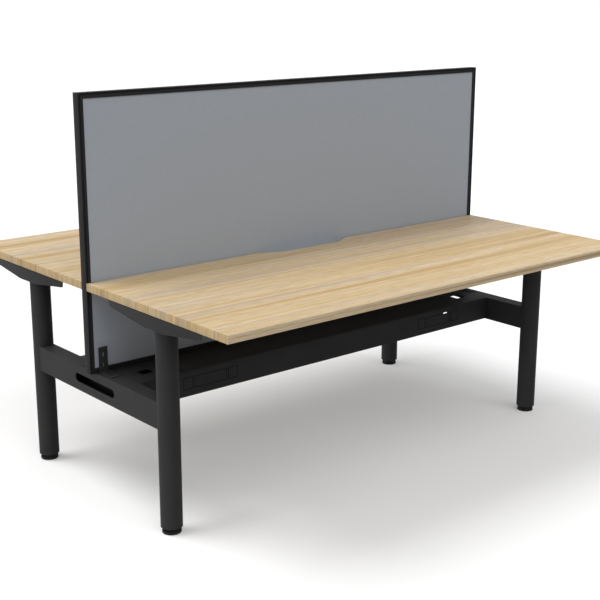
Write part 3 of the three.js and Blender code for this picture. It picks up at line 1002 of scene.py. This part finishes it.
@dataclass
class Studio:
    """White sweep, soft light from the back left, and the camera at the picture's viewpoint."""

    camera_m: tuple[float, float, float] = (-2.72015, -3.21714, 1.6514)
    yaw_deg: float = 40.19
    pitch_deg: float = -15.05
    roll_deg: float = 0.11
    lens_mm: float = 70.893
    horizon: float = 0.19
    zenith: float = 0.5
    lamps: tuple[SoftLamp, ...] = (
        SoftLamp("key_from_above", 1.74, 34.0, (-0.38, 0.4, 1.0)),
        SoftLamp("fill_from_left", 1.6, 24.0, (-0.97, 0.22, 0.1)),
        SoftLamp("fill_from_front", 1.15, 60.0, (-0.1, -0.72, 0.68)),
    )
    floor_colour: str = "e8e8e8"
    bounce_colour: str = "b0b0b0"
    floor_lift: float = 0.19

    def build(self) -> None:
        """Makes the floor, the light and the camera."""
        self.floor()
        self.light()
        self.camera()
        bpy.context.scene.view_settings.view_transform = "Standard"

    @staticmethod
    def shown(tree: bpy.types.NodeTree) -> Socket:
        """Tells the rays that show the backdrop, straight or in a reflection, from those that carry light.

        Args:
            tree: The node tree that asks.

        Returns:
            1 for camera, glossy and transmission rays, and 0 for the rest.
        """
        ray = add_node(tree, "ShaderNodeLightPath")
        seen = add_node(tree, "ShaderNodeMath", {
            0: ray.outputs["Is Camera Ray"], 1: ray.outputs["Is Glossy Ray"],
        }, operation="MAXIMUM")
        both = add_node(tree, "ShaderNodeMath", {
            0: seen.outputs["Value"], 1: ray.outputs["Is Transmission Ray"],
        }, operation="MAXIMUM")
        return both.outputs["Value"]

    def floor(self) -> None:
        """Makes a wide white floor, which the camera sees as white outside the desk's shadow."""
        mesh = bpy.data.meshes.new("studio_floor")
        reach = 60.0
        corners = [(-reach, -reach, 0.0), (reach, -reach, 0.0), (reach, reach, 0.0), (-reach, reach, 0.0)]
        mesh.from_pydata(corners, [], [(0, 1, 2, 3)])
        paint = bpy.data.materials.new("white_paper_sweep")
        paint.use_nodes = True
        tree = paint.node_tree
        tree.nodes.clear()
        shown = self.shown(tree)
        lift = add_node(tree, "ShaderNodeMath", {0: shown, 1: self.floor_lift}, operation="MULTIPLY")
        tone = add_node(tree, "ShaderNodeMix", {
            "Factor": shown, "A": linear(self.bounce_colour), "B": linear(self.floor_colour),
        }, data_type="RGBA")
        matt = add_node(tree, "ShaderNodeBsdfDiffuse", {"Color": tone.outputs["Result"]})
        glow = add_node(tree, "ShaderNodeEmission", {"Strength": lift.outputs["Value"]})
        both = add_node(tree, "ShaderNodeAddShader", {0: matt.outputs["BSDF"], 1: glow.outputs["Emission"]})
        add_node(tree, "ShaderNodeOutputMaterial", {"Surface": both.outputs["Shader"]})
        mesh.materials.append(paint)
        floor = bpy.data.objects.new("studio_floor", mesh)
        floor.location.z = -0.0005
        bpy.context.scene.collection.objects.link(floor)

    def light(self) -> None:
        """Makes the even dome and the broad lamps."""
        world = bpy.data.worlds.new("studio_dome")
        bpy.context.scene.world = world
        world.use_nodes = True
        tree = world.node_tree
        tree.nodes.clear()
        place = add_node(tree, "ShaderNodeTexCoord")
        height = add_node(tree, "ShaderNodeSeparateXYZ", {"Vector": place.outputs["Generated"]})
        dome = add_node(tree, "ShaderNodeMapRange", {
            "Value": height.outputs["Z"], "To Min": self.horizon, "To Max": self.zenith,
        })
        strength = add_node(tree, "ShaderNodeMapRange", {
            "Value": self.shown(tree), "To Min": dome.outputs["Result"], "To Max": 1.0,
        })
        sky = add_node(tree, "ShaderNodeBackground", {"Strength": strength.outputs["Result"]})
        add_node(tree, "ShaderNodeOutputWorld", {"Surface": sky.outputs["Background"]})
        sky.inputs["Color"].default_value = (1.0, 1.0, 1.0, 1.0)
        for lamp in self.lamps:
            lamp.build()

    def camera(self) -> None:
        """Makes the camera at the place and angle fitted to the picture."""
        lens = bpy.data.cameras.new("picture_camera")
        lens.lens = self.lens_mm
        lens.sensor_width = 36.0
        lens.clip_end = 200.0
        eye = bpy.data.objects.new("picture_camera", lens)
        yaw, pitch, roll = (math.radians(a) for a in (self.yaw_deg, self.pitch_deg, self.roll_deg))
        level = Matrix.Rotation(-yaw, 3, "Z") @ Matrix.Rotation(math.pi / 2 + pitch, 3, "X")
        eye.rotation_euler = (level @ Matrix.Rotation(roll, 3, "Z")).to_euler()
        eye.location = self.camera_m
        bpy.context.scene.collection.objects.link(eye)
        bpy.context.scene.camera = eye


def main() -> None:
    """Builds the desk from the frame up."""
    logging.basicConfig(level=logging.INFO, format="%(name)s: %(message)s")
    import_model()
    for user in User:
        Worktop(user).build()
    LegFrame().build()
    for user in User:
        CableBeam(user).build()
        for end in End:
            ScreenBracket(user, end).build()
            LevellingFoot(user, end).build()
    Screen().build()
    Studio().build()


if __name__ == "__main__":
    main()
